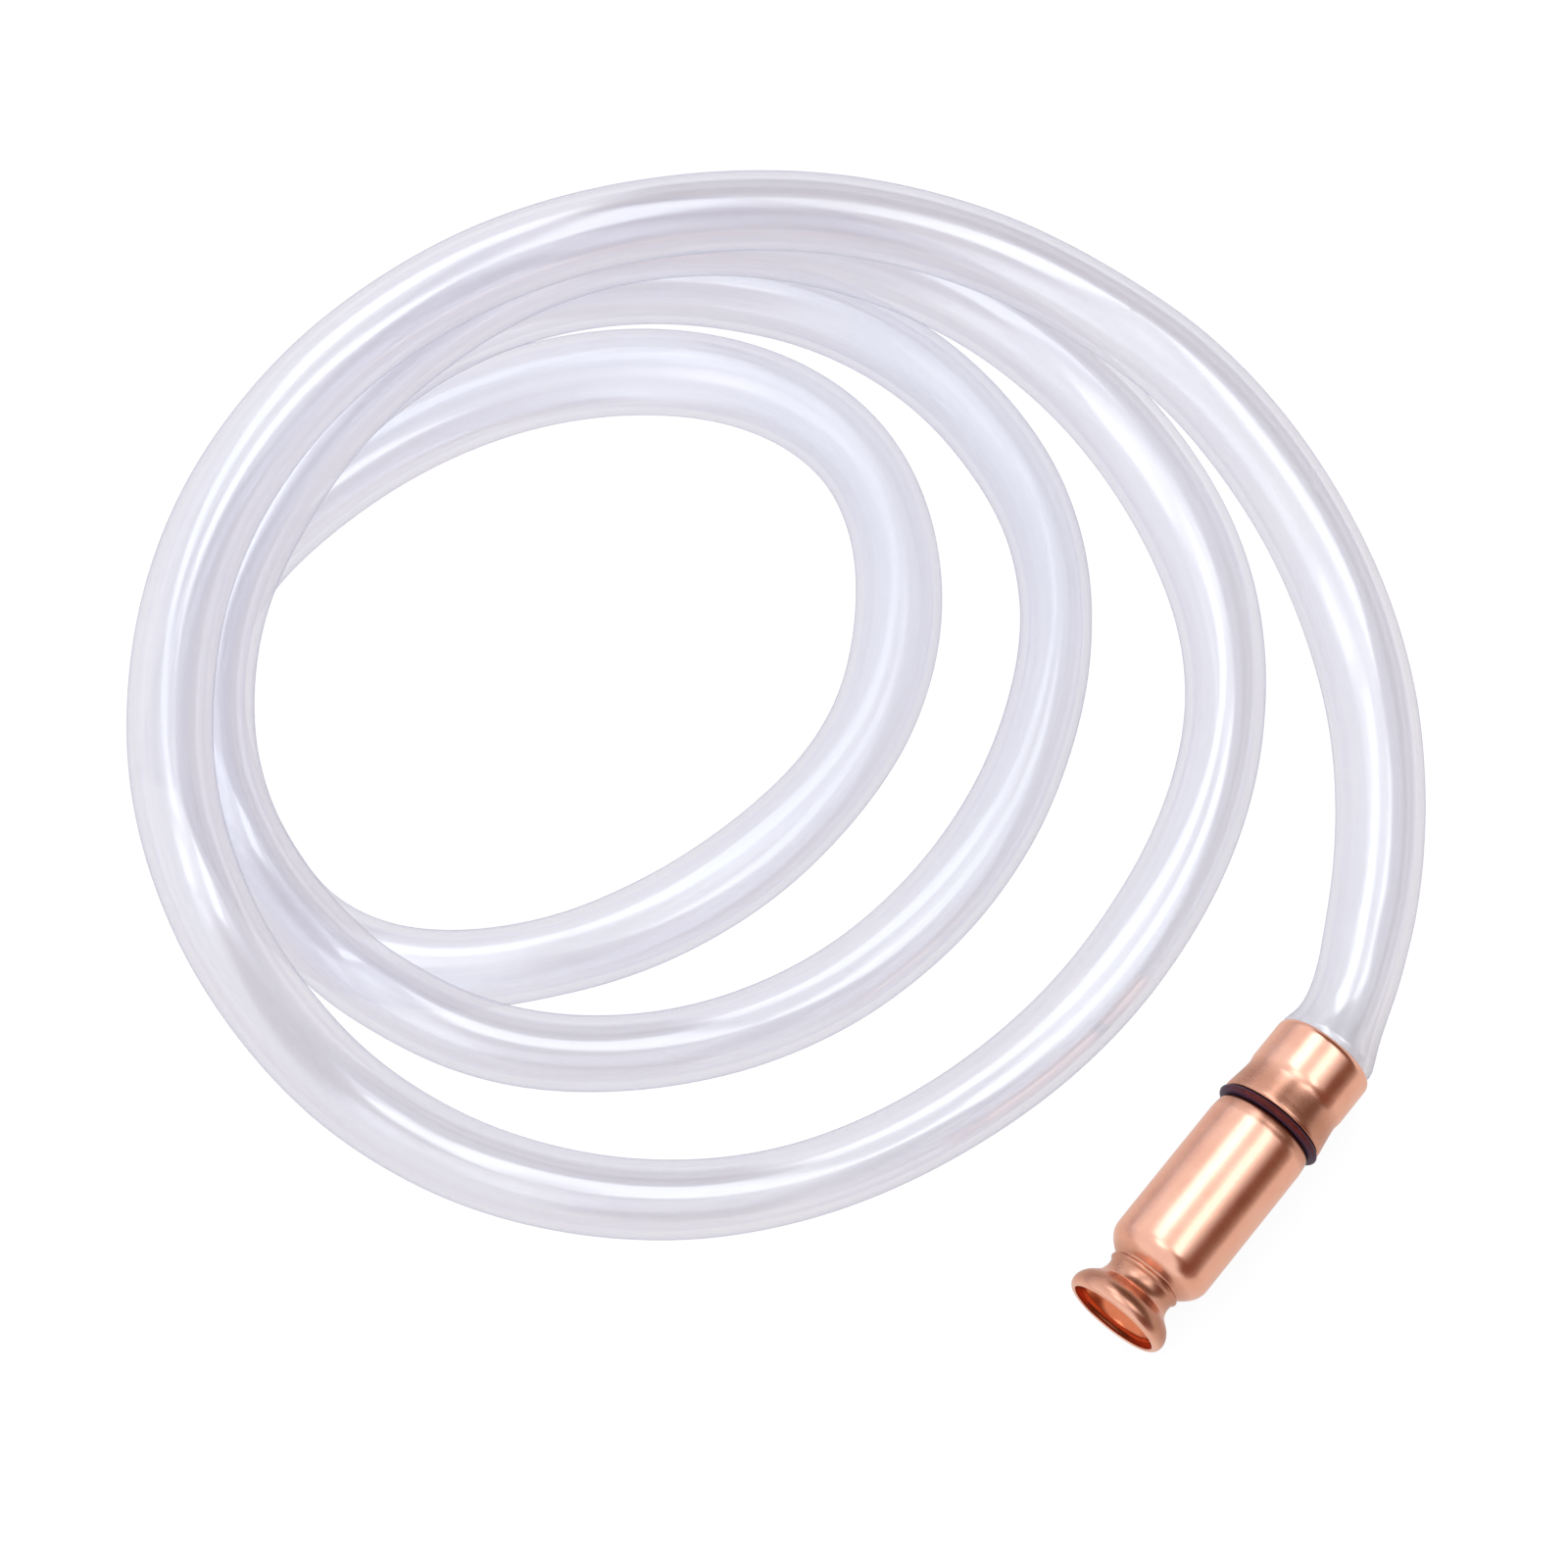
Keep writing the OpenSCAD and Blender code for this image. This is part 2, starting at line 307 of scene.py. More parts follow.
def rubber(name, base=(0.018, 0.018, 0.024), painted_sheen=None, spec=0.35):
    m = Nodes(name)
    pos = m.new("ShaderNodeTexCoord").outputs["Object"]
    cloud = m.noise(pos, 420.0, 3.0, 0.6)
    grain = m.noise(pos, 3400.0, 2.0, 0.5)
    colour = m.ramp(
        cloud,
        [(0.3, base), (0.75, tuple(c * 1.9 + 0.004 for c in base))],
    )
    if painted_sheen:
        # painted sheen: toward its edges the colour turns to the rim tint, standing in for the sky reflected at a
        # glancing angle
        away = m.new("ShaderNodeLayerWeight", Blend=0.5).outputs["Facing"]
        colour = m.mix(m.math("MULTIPLY_ADD", away, 1.6, -0.25, clamp=True), colour, painted_sheen)
    r = m.math("ADD", m.math("MULTIPLY", cloud, 0.18), 0.34)
    normal = m.bump(grain, 0.25, 0.00008)
    p = m.new(
        "ShaderNodeBsdfPrincipled",
        **{"Base Color": colour, "Roughness": r, "Normal": normal, "Specular IOR Level": spec},
    )
    return m.surface(p.outputs[0])


def marble(name):
    """The loose ball: a clear glass marble with a milky core."""
    m = Nodes(name)
    pos = m.new("ShaderNodeTexCoord").outputs["Object"]
    swirl = m.noise(m.stretch(pos, (120, 320, 120)), 1.0, 4.0, 0.6)
    colour = m.ramp(
        swirl, [(0.35, (0.60, 0.66, 0.66)), (0.65, (0.82, 0.86, 0.86))]
    )
    fine = m.noise(pos, 900.0, 2.0, 0.5)
    r = m.math("ADD", m.math("MULTIPLY", fine, 0.08), 0.04)
    p = m.new(
        "ShaderNodeBsdfPrincipled",
        **{
            "Base Color": colour,
            "Roughness": r,
            "IOR": 1.52,
            "Coat Weight": 0.5,
            "Subsurface Weight": 0.15,
            "Subsurface Radius": (0.004, 0.004, 0.004),
            "Subsurface Scale": 1.0,
        },
    )
    return m.surface(p.outputs[0])


def pvc(name, least, most, power, shine, specks):
    """Clear soft PVC, a little milky: more of it is seen through at a glancing angle, so its edges are darker, and
    painted shade darkens them further.
    tube holds the place on the straightened hose: across, across, along, in metres."""
    m = Nodes(name)
    tube = m.new("ShaderNodeAttribute", attribute_name="tube").outputs["Vector"]
    # extrusion lines and slow changes along the hose
    lines = m.noise(m.stretch(tube, (420, 420, 6)), 1.0, 2.0, 0.5)
    cloud = m.noise(m.stretch(tube, (70, 70, 19)), 1.0, 3.0, 0.5)
    colour = m.ramp(
        cloud,
        [
            (0.28, (0.666, 0.679, 0.758)),
            (0.52, (0.701, 0.713, 0.778)),
            (0.76, (0.737, 0.747, 0.792)),
        ],
    )
    face = m.new("ShaderNodeLayerWeight", Blend=0.5).outputs["Facing"]
    edge = m.math("POWER", face, power)
    cover = m.math("MULTIPLY_ADD", edge, most - least, least)
    cover = m.math(
        "MULTIPLY", cover, m.math("MULTIPLY_ADD", lines, 0.34, 0.83), clamp=True
    )
    # painted shade: the duller stretches, the inner turns' right sides, are painted a little darker too
    sheen_and_shade = m.new("ShaderNodeAttribute", attribute_name="sheen_and_shade").outputs["Vector"]
    sheen_and_shade_level = m.new("ShaderNodeSeparateXYZ", Vector=sheen_and_shade).outputs[0]
    colour = m.mix(m.math("MULTIPLY_ADD", sheen_and_shade_level, -0.36, 0.36, clamp=True), colour, (0.56, 0.57, 0.65))
    # painted shade: the colour darkens toward the edges, standing in for the dark edges refraction gives a clear tube
    painted_edge_shade = m.math("MULTIPLY", m.math("POWER", face, 7.0), 0.85)
    colour = m.mix(painted_edge_shade, colour, (0.34, 0.345, 0.44))
    if specks:
        uv = m.new("ShaderNodeUVMap", uv_map="UVMap").outputs[0]
        cell = m.t.nodes.new("ShaderNodeTexVoronoi")
        cell.voronoi_dimensions = "2D"
        m.put(cell, "Vector", uv)
        cell.inputs["Scale"].default_value = 0.62
        near = m.math("LESS_THAN", cell.outputs["Distance"], 0.0052)
        pick = m.new("ShaderNodeSeparateColor")
        m.put(pick, 0, cell.outputs["Color"])
        near = m.math("MULTIPLY", near, m.math("GREATER_THAN", pick.outputs[0], 0.45))
        near = m.math("MULTIPLY", near, 0.8)
        colour = m.mix(near, colour, (0.10, 0.10, 0.17))
        cover = m.math("MAXIMUM", cover, near)
    normal = m.bump(lines, 0.10, 0.00022)
    diffuse = m.new("ShaderNodeBsdfDiffuse", Color=colour, Roughness=0.3)
    through_light = m.new("ShaderNodeBsdfTranslucent", Color=colour)
    milky = m.new("ShaderNodeMixShader", Fac=0.45)
    m.t.links.new(diffuse.outputs[0], milky.inputs[1])
    m.t.links.new(through_light.outputs[0], milky.inputs[2])
    # painted glow: a faint emission stands in for light that has wandered inside the milky wall
    painted_inner_glow = m.new("ShaderNodeEmission", Color=colour, Strength=0.06)
    lit = m.t.nodes.new("ShaderNodeAddShader")
    m.t.links.new(milky.outputs[0], lit.inputs[0])
    m.t.links.new(painted_inner_glow.outputs[0], lit.inputs[1])
    clear = m.new("ShaderNodeBsdfTransparent", Color=(0.985, 0.985, 0.99, 1))
    body = m.new("ShaderNodeMixShader", Fac=cover)
    m.t.links.new(clear.outputs[0], body.inputs[1])
    m.t.links.new(lit.outputs[0], body.inputs[2])
    fresnel = m.new("ShaderNodeFresnel", IOR=1.53, Normal=normal).outputs[0]
    gloss_share = m.math("MULTIPLY", fresnel, m.math("MULTIPLY", sheen_and_shade_level, shine), clamp=True)
    gloss_share = m.math("MINIMUM", gloss_share, 0.27)
    kept = m.math("MULTIPLY_ADD", m.math("POWER", face, 1.5), -0.75, 1.0)
    gloss_share = m.math("MULTIPLY", gloss_share, kept)
    r = m.math("ADD", m.math("MULTIPLY", cloud, 0.08), 0.09)
    gloss = m.new("ShaderNodeBsdfGlossy", Color=(1.0, 0.965, 0.925, 1), Roughness=r, Normal=normal)
    whole = m.new("ShaderNodeMixShader", Fac=gloss_share)
    m.t.links.new(body.outputs[0], whole.inputs[1])
    m.t.links.new(gloss.outputs[0], whole.inputs[2])
    # light passes the hose with little loss, so its shadow and its image in the copper are faint
    path = m.t.nodes.new("ShaderNodeLightPath")
    veil = m.new("ShaderNodeBsdfTransparent", Color=(0.965, 0.965, 0.975, 1))
    final = m.t.nodes.new("ShaderNodeMixShader")
    faint = m.math("MAXIMUM", path.outputs["Is Shadow Ray"], m.math("MULTIPLY", path.outputs["Is Glossy Ray"], 0.8))
    m.t.links.new(faint, final.inputs[0])
    m.t.links.new(whole.outputs[0], final.inputs[1])
    m.t.links.new(veil.outputs[0], final.inputs[2])
    return m.surface(final.outputs[0])


# the copper's painted shade bands: at the collar's waist, round the rubber ring, in the neck's groove and at the lip
mat_copper = copper("copper_satin", rough=0.225,
                    painted_shade_bands=((69.4, 6.6, 0.70), (62.6, 3.6, 0.65), (11.6, 4.6, 0.70), (4.0, 3.7, 0.80)))
mat_mouth_painted_glow = mouth("copper_mouth_painted_glow")
mat_copper_in = copper("copper_bore", tone=0.97, rough=0.16)
mat_stop = copper("stop_brass", tone=0.86, rough=0.26)
# the O-ring: dark red-brown rubber with a painted bluish sheen toward its edges
mat_rubber = rubber("black_rubber", (0.075, 0.010, 0.007), (0.058, 0.036, 0.075), 0.12)
mat_seat = rubber("seat_rubber", (0.022, 0.022, 0.024))
mat_ball = marble("ball_glass")
mat_outer = pvc("clear_pvc_skin", 0.42, 0.92, 4.0, 3.5, True)
mat_inner = pvc("clear_pvc_bore", 0.11, 0.62, 4.0, 0.5, False)

# ------------------------------------------------------------------ centre line of the hose, as in the CAD
OD_R, ID_R = 10.5, 8.0
NECK, LEAD_R, LEAD_LEN, FLEX_Y, STUB = 21.0, 189.0, 80.0, 102.0, 11.0
STATION_0, TOTAL, STEP = -12.0, 1290.0, 8.0
BENDS = [189, 144, 164, 103, 161, 103, 153, 76, 136, 84, 135, 59, 118, 55, 127, 118, 110]
PITCH = 21.4
LIFTS = [
    (360, (50, 92, 245, 296)),
    (720, (71, 160, 275, 336)),
    (1080, (91, 166, 238, 278)),
]


def bend_radius(psi):
    s = (psi - STATION_0) / 90
    i = min(max(math.floor(s), 0), len(BENDS) - 2)
    f = s - i
    a, b, c, d = (BENDS[min(max(i + k, 0), len(BENDS) - 1)] for k in (-1, 0, 1, 2))
    return 0.5 * (
        2 * b
        + (c - a) * f
        + (2 * a - 5 * b + 4 * c - d) * f * f
        + (3 * b - a - 3 * c + d) * f**3
    )


def height(psi):
    z = OD_R + FLOOR
    u = psi % 360
    for limit, w in LIFTS:
        if psi < limit:
            z += PITCH * float(smooth(u, w[0], w[1])) * (1 - float(smooth(u, w[2], w[3])))
    if psi < 360:
        z += (-FLOOR - OD_R) * (1 - float(smooth(psi, 50, 100)))
    return z


def heading(psi):
    a = math.radians(90 + psi)
    return np.array([math.cos(a), math.sin(a), 0.0])


lead_turn = math.degrees(LEAD_LEN / LEAD_R)
coil_psi = NECK + lead_turn
lead_c = np.array(
    [-LEAD_R * math.cos(math.radians(NECK)), FLEX_Y - LEAD_R * math.sin(math.radians(NECK)), 0.0]
)


def lead_point(psi):
    a = math.radians(psi)
    return lead_c + LEAD_R * np.array([math.cos(a), math.sin(a), 0.0])


flex_1 = np.array([0.0, FLEX_Y, 0.0])
flex_2 = lead_point(coil_psi)
stub_turn = math.degrees(STUB / bend_radius(coil_psi))
psi_0 = coil_psi + stub_turn
rings = round((TOTAL - psi_0) / STEP)
dpsi = (TOTAL - psi_0) / rings
p = flex_2 + STUB * heading(coil_psi + stub_turn / 2)
coil_pts, coil_psis = [flex_2, p.copy()], [coil_psi, psi_0]
psi = psi_0
for i in range(rings):
    chord = 2 * bend_radius(psi + dpsi / 2) * math.sin(math.radians(dpsi / 2))
    p = p + chord * heading(psi + dpsi / 2)
    psi += dpsi
    p[2] = height(psi)
    coil_pts.append(p.copy())
    coil_psis.append(psi)
coil_pts = np.array(coil_pts)


def clamped_spline(pts, t_start, t_end):
    """C2 cubic through pts with given unit end tangents; returns a function of chord length."""
    h = np.linalg.norm(np.diff(pts, axis=0), axis=1)
    k = np.concatenate([[0], np.cumsum(h)])
    n = len(pts)
    a = np.zeros((n, n))
    b = np.zeros((n, 3))
    a[0, 0], b[0] = 1, t_start
    a[-1, -1], b[-1] = 1, t_end
    for i in range(1, n - 1):
        a[i, i - 1], a[i, i], a[i, i + 1] = h[i], 2 * (h[i - 1] + h[i]), h[i - 1]
        b[i] = 3 * (
            h[i - 1] * (pts[i + 1] - pts[i]) / h[i] + h[i] * (pts[i] - pts[i - 1]) / h[i - 1]
        )
    d = np.linalg.solve(a, b)

    def at(s):
        i = np.clip(np.searchsorted(k, s, side="right") - 1, 0, n - 2)
        u = ((s - k[i]) / h[i])[:, None]
        hi = h[i][:, None]
        return (
            (2 * u**3 - 3 * u**2 + 1) * pts[i]
            + (u**3 - 2 * u**2 + u) * hi * d[i]
            + (-2 * u**3 + 3 * u**2) * pts[i + 1]
            + (u**3 - u**2) * hi * d[i + 1]
        )

    return at, k


coil_at, coil_k = clamped_spline(coil_pts, heading(coil_psi), heading(TOTAL))
# the hose leaves the collar straight, then bends smoothly into the lead
FILLET = 15.0
a0 = np.array([0.0, FLEX_Y - FILLET, 0.0])
psi_f = NECK + math.degrees(FILLET / LEAD_R)
a1 = lead_point(psi_f)
u = np.linspace(0, 1, 25)[:, None]
hl = np.linalg.norm(a1 - a0)
fillet = (
    (2 * u**3 - 3 * u**2 + 1) * a0
    + (u**3 - 2 * u**2 + u) * hl * np.array([0, 1.0, 0])
    + (-2 * u**3 + 3 * u**2) * a1
    + (u**3 - u**2) * hl * heading(psi_f)
)
HOSE_Y0, END_LEN = 66.5, 12.9
dense = [np.array([0.0, y, 0.0]) for y in np.linspace(HOSE_Y0, FLEX_Y - FILLET, 20)[:-1]]
dense += list(fillet[:-1])
dense += [lead_point(q) for q in np.linspace(psi_f, coil_psi, 60)[:-1]]
n_before = len(dense)
dense += list(coil_at(np.linspace(0, coil_k[-1], 3200))[:-1])
dense += [coil_pts[-1] + heading(TOTAL) * q for q in np.linspace(0, END_LEN, 14)]
dense = np.array(dense)
run = np.concatenate([[0], np.cumsum(np.linalg.norm(np.diff(dense, axis=0), axis=1))])
S_FLEX1 = float(np.interp(FLEX_Y, dense[:45, 1], run[:45]))
S_FLEX2 = float(run[n_before])
S_END = float(run[-1])
# the turning angle at each place, for the hose's slightly oval section
psi_of_s_x = np.concatenate([[0, S_FLEX1], S_FLEX2 + coil_k, [S_END]])
psi_of_s_y = np.concatenate([[NECK, NECK], coil_psis, [TOTAL]])


# how the soft hose lies, against the design's centre line: by place (mm along the hose near the head, then
# by turning angle), the shift outwards and the change of its half width, mm
LIE_S = [(0, 0, 0), (21, 0, 0), (28, -0.7, 0.1), (36, -1.7, 0.3), (44, -2.2, 0.3), (52, -2.1, 0.3), (60, -1.6, 0.4),
         (68, -1.2, 0.5), (78, -0.9, 0.5)]
LIE_PSI = [
    (36, -0.6, 0.5), (41, 0.0, 0.5), (48, 0.7, 0.9), (54, 0.9, 1.1), (59, 1.0, 1.2), (67, 0.6, 1.1), (76, 0.0, 1.1),
    (85, -0.3, 0.7), (98, -0.2, 0.4), (110, -0.6, 0.2), (116, -1.4, 0.1), (121, -2.2, 0), (127, -3.2, 0),
    (133, -4.4, 0), (138, -5.2, -0.1), (144, -5.8, -0.1), (149, -5.7, -0.1), (155, -5.2, 0), (160, -4.2, 0),
    (166, -2.9, 0), (172, -1.7, 0), (177, -0.6, 0), (183, 0.2, 0), (195, 0.9, 0), (201, 0.7, 0), (208, 0.3, 0),
    (218, -0.6, 0), (242, -0.8, 0), (250, -0.1, 0.1), (258, 0, 0.3), (295, 0, 0.3), (305, 0.3, 0), (315, 0.4, -0.2),
    (324, 0.1, -0.6), (333, -0.4, -0.6), (342, -0.6, -0.4), (350, -0.5, 0), (359, -0.1, 0.4), (368, 0.2, 0.7),
    (374, 0.8, 0.6), (380, 1.3, 0.4), (387, 1.8, 0.2), (393, 1.9, 0), (401, 1.5, 0.3), (408, 0.8, 1.0),
    (416, -0.3, 1.7), (424, -1.2, 1.9), (431, -1.5, 1.8), (438, -1.4, 1.6), (446, -1.0, 1.2), (455, -0.3, 0.9),
    (463, 0.2, 0.5), (475, 0.2, 0.2), (555, 0, 0), (567, 1.1, 0), (584, 0.9, 0), (604, 0.3, 0), (614, -0.4, 0),
    (625, -1.8, 0), (634, -2.0, 0), (646, -1.4, 0), (651, -0.7, 0), (656, -0.2, 0), (665, 0, 0), (673, -0.4, -0.2),
    (684, -0.5, -0.2), (691, -0.1, 0.1), (698, 0.4, 0.4), (705, 0.9, 0.7), (712, 0.7, 0.9), (718, 0.8, 1.1),
    (725, 0.5, 1.0), (732, 0.4, 0.9), (740, 0, 0.5), (748, 0.1, 0.3), (756, 0.5, 0), (765, 0.6, 0.1), (774, 0.5, 0.2),
    (784, 0, 0.6), (795, -0.6, 0.6), (806, -0.1, 0.4), (812, 0.4, 0.4), (821, 0.9, 0), (835, 0.9, 0), (843, 0.1, 0),
    (855, 0, 0), (955, 0, 0), (968, 0.4, 0), (979, 1.3, 0), (986, 2.0, 0), (992, 3.1, 0), (999, 4.3, 0),
    (1006, 5.0, 0), (1014, 5.4, -0.3), (1023, 4.6, -0.4), (1033, 3.1, -0.6), (1040, 2.0, -0.8), (1047, 1.3, -0.2),
    (1053, 0.8, 0.4), (1062, 0.4, 0.7), (1070, 0.4, 0.8), (1078, 0.7, 0.3), (1086, 1.4, -0.2), (1095, 2.0, 0),
    (1104, 1.5, 0.5), (1114, 0.9, 0.8), (1126, 0.6, 0.6), (1140, 0.6, 0.2), (1156, 1.1, 0.1), (1172, 0.9, 0.2),
    (1186, 0.6, 0.5), (1198, 0.3, 0.9), (1206, 0.1, 1.2), (1218, 0, 1.3), (1228, 0.2, 1.0), (1238, 0.6, 0.6),
    (1245, 1.3, 0.3), (1253, 2.4, 0.1), (1260, 3.9, 0), (1267, 6.0, 0), (1273, 7.0, 0), (1279, 5.5, 0), (1285, 3.0, 0), (1290, 1.5, 0),
]
lie_at = np.array([q[0] for q in LIE_S] + list(np.interp([q[0] for q in LIE_PSI], psi_of_s_y[1:], psi_of_s_x[1:])))
lie_step = np.arange(0, S_END, 2.0)
soften = np.exp(-((np.arange(-12, 13) * 2.0 / 11.0) ** 2))
soften /= soften.sum()


def lie(column):
    v = np.interp(lie_step, lie_at, [q[column] for q in LIE_S + LIE_PSI])
    return np.convolve(np.pad(v, 12, mode="edge"), soften, mode="valid")


lie_shift, lie_half = lie(1), lie(2)
along = np.gradient(dense, run, axis=0)
outward = np.cross(along, [0, 0, 1.0])
outward /= np.linalg.norm(outward, axis=1)[:, None]
dense = dense + outward * np.interp(run, lie_step, lie_shift)[:, None]


def centre(s):
    return np.stack([np.interp(s, run, dense[:, i]) for i in range(3)], axis=1)


def bump_at(s, at, width):
    return np.exp(-(((s - at) / width) ** 2))


# width of the hose across the coil, mm, by turning angle: it is squeezed a little oval where it bends
WIDTHS = [
    (0, 21.0), (21, 21.4), (39, 22.4), (85, 21.9), (129, 21.2), (219, 21.1), (309, 20.3), (355, 20.6),
    (399, 21.1), (489, 20.6), (579, 20.6), (669, 19.5), (759, 19.0), (849, 20.2), (939, 20.9),
    (1029, 21.7), (1119, 21.7), (1209, 22.4), (1290, 21.2),
]


def section(s):
    """Half width across and half height at each place along the hose."""
    q = np.interp(s, psi_of_s_x, psi_of_s_y)
    w = np.interp(q, [a for a, _ in WIDTHS], [b for _, b in WIDTHS]) / 2
    # the same length of skin round the oval
    a = w + np.interp(s, lie_step, lie_half) + 0.05 * np.sin(s / 61.0) + 0.04 * np.sin(s / 23.0 + 1.3)
    b = np.minimum(2 * OD_R - a, OD_R + 0.5)
    near_head = 1 - smooth(s, S_FLEX1 - 4, S_FLEX1 + 30)
    a = a * (1 - near_head) + OD_R * near_head
    b = b * (1 - near_head) + OD_R * near_head
    return a, b


# radius of the hose end over the spigot, by length along the head
FLARE_OUT = through(
    [(12.25, 66.5), (12.25, 78), (12.25, 88.0), (12.4, 88.7), (12.85, 89.15), (13.1, 89.7), (13.0, 90.6),
     (12.6, 92.0), (12.05, 93.8), (11.5, 95.8), (11.05, 98.2), (10.75, 101), (10.58, 104), (10.5, 107)], 0.4
)
FLARE_IN = through(
    [(10.15, 66.5), (10.15, 80), (10.15, 87.0), (10.3, 88.6), (10.45, 89.8), (10.3, 91.0), (9.85, 92.8),
     (9.25, 95.0), (8.7, 97.6), (8.3, 100.6), (8.08, 104), (8.0, 107)], 0.4
)


# how glossy the skin is by turning angle, which also sets its painted shade: the inner turns' right sides are duller
# and painted darker
SHEEN_AND_SHADE = [
    (0, 1.0), (470, 1.0), (560, 0.9), (700, 0.9), (735, 0.6), (760, 0.3), (820, 0.3), (845, 0.8), (900, 0.9),
    (1060, 0.9), (1085, 0.6), (1105, 0.35), (1180, 0.35), (1200, 0.9), (1290, 0.9),
]


def rings_of(s, bore):
    """Centre, side and up vectors, and the two half sizes of each ring at s."""
    c = centre(s)
    e = 0.8
    t = centre(np.minimum(s + e, S_END)) - centre(np.maximum(s - e, 0))
    t /= np.linalg.norm(t, axis=1)[:, None]
    # a smooth tangent: average over the neighbours along the hose
    up = np.array([0, 0, 1.0]) - t * t[:, 2:3]
    up /= np.linalg.norm(up, axis=1)[:, None]
    side = np.cross(t, up)
    a, b = section(s)
    lift = np.where(s > S_FLEX2, np.maximum(b - OD_R, 0), 0) * smooth(s, S_FLEX2, S_FLEX2 + 120)
    c = c + np.array([0, 0, 1.0]) * lift[:, None]
    if bore:
        a, b = a - (OD_R - ID_R), b - (OD_R - ID_R)
    y = s + HOSE_Y0
    prof = FLARE_IN if bore else FLARE_OUT
    flare = np.interp(y, [q[1] for q in prof], [q[0] for q in prof]) - (ID_R if bore else OD_R)
    a, b = a + flare, b + flare
    # the free end is cut square with its edge just broken
    broke = 0.3 * np.clip((s - (S_END - 0.45)) / 0.45, 0, 1) ** 2
    return c, side, up, (a + broke, b + broke) if bore else (a - broke, b - broke)


def tube(name, s, open_start, open_end, n_out=40, n_in=28):
    """A length of hose from its outer and inner skins. An open end meets the next length."""
    verts, attr, gloss = [], [], []
    counts = []
    for bore, n in ((False, n_out), (True, n_in)):
        c, side, up, (a, b) = rings_of(s, bore)
        th = 2 * np.pi * np.arange(n) / n
        ring = (
            c[:, None, :]
            + side[:, None, :] * (a[:, None] * np.cos(th))[:, :, None]
            + up[:, None, :] * (b[:, None] * np.sin(th))[:, :, None]
        )
        r = ID_R if bore else OD_R
        coord = np.zeros(ring.shape)
        coord[:, :, 0] = r * np.cos(th)
        coord[:, :, 1] = r * np.sin(th)
        coord[:, :, 2] = s[:, None]
        verts.append(ring.reshape(-1, 3))
        attr.append(coord.reshape(-1, 3))
        g = np.interp(np.interp(s, psi_of_s_x, psi_of_s_y), [q[0] for q in SHEEN_AND_SHADE], [q[1] for q in SHEEN_AND_SHADE])
        gloss.append(np.repeat(g, n)[:, None] * np.ones(3))
        counts.append(len(s) * n)
    verts = np.concatenate(verts)
    attr = np.concatenate(attr)
    gloss = np.concatenate(gloss)
    faces, uv, fm = [], [], []
    m = len(s)
    start = 0
    for bore, n in ((False, n_out), (True, n_in)):
        for i in range(m - 1):
            for k in range(n):
                q = (k + 1) % n
                f = (start + i * n + k, start + i * n + q, start + (i + 1) * n + q, start + (i + 1) * n + k)
                v0, v1 = s[i] / 66, s[i + 1] / 66
                w = [(k / n, v0), ((k + 1) / n, v0), ((k + 1) / n, v1), (k / n, v1)]
                if not bore:
                    f, w = f[::-1], w[::-1]
                faces.append(f)
                uv += w
                fm.append(1 if bore else 0)
        start += m * n
    # a closed end: a ring of faces between the two skins, matched by angle
    for closed, row in ((not open_start, 0), (not open_end, m - 1)):
        if not closed:
            continue
        o0, i0 = row * n_out, counts[0] + row * n_in
        i = j = 0
        while i < n_out or j < n_in:
            o, q = o0 + i % n_out, i0 + j % n_in
            if j >= n_in or (i < n_out and (i + 1) / n_out <= (j + 1) / n_in):
                f = (o, o0 + (i + 1) % n_out, q)
                i += 1
            else:
                f = (o, i0 + (j + 1) % n_in, q)
                j += 1
            if row:
                f = f[::-1]
            faces.append(f[::-1] if row == 0 else f[::-1])
            uv += [(0.5, s[row] / 66)] * 3
            fm.append(0)
    verts = verts + np.array([0, SHIFT, 0])
    ob = make_object(
        name, verts * MM, faces, [mat_outer, mat_inner], fm, uv, {"tube": attr * MM, "sheen_and_shade": gloss},
        sharp_deg=50
    )
    return ob


S_SEAM1 = S_FLEX1 + 40.0
S_SEAM2 = S_FLEX2 + 40.0
s1 = np.concatenate([np.arange(0, S_FLEX1 - 16, 1.6), np.linspace(S_FLEX1 - 16, S_SEAM1, 50)])
s2 = np.linspace(S_SEAM1, S_SEAM2, 60)
s3 = np.concatenate(
    [np.linspace(S_SEAM2, S_END - 1.2, int((S_END - S_SEAM2) / 2.05)), S_END - np.array([0.8, 0.45, 0.3, 0.15, 0.0])]
)
hose_head = tube("hose_head_end", s1, False, True)
hose_lead = tube("hose_lead_run", s2, True, True)
hose_coil = tube("hose_coil_run", s3, True, False)

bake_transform(hose_head)
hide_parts("hose_end")
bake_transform(hose_lead)
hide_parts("hose_lead")
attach(hose_coil, "coil")
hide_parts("hose_coil")

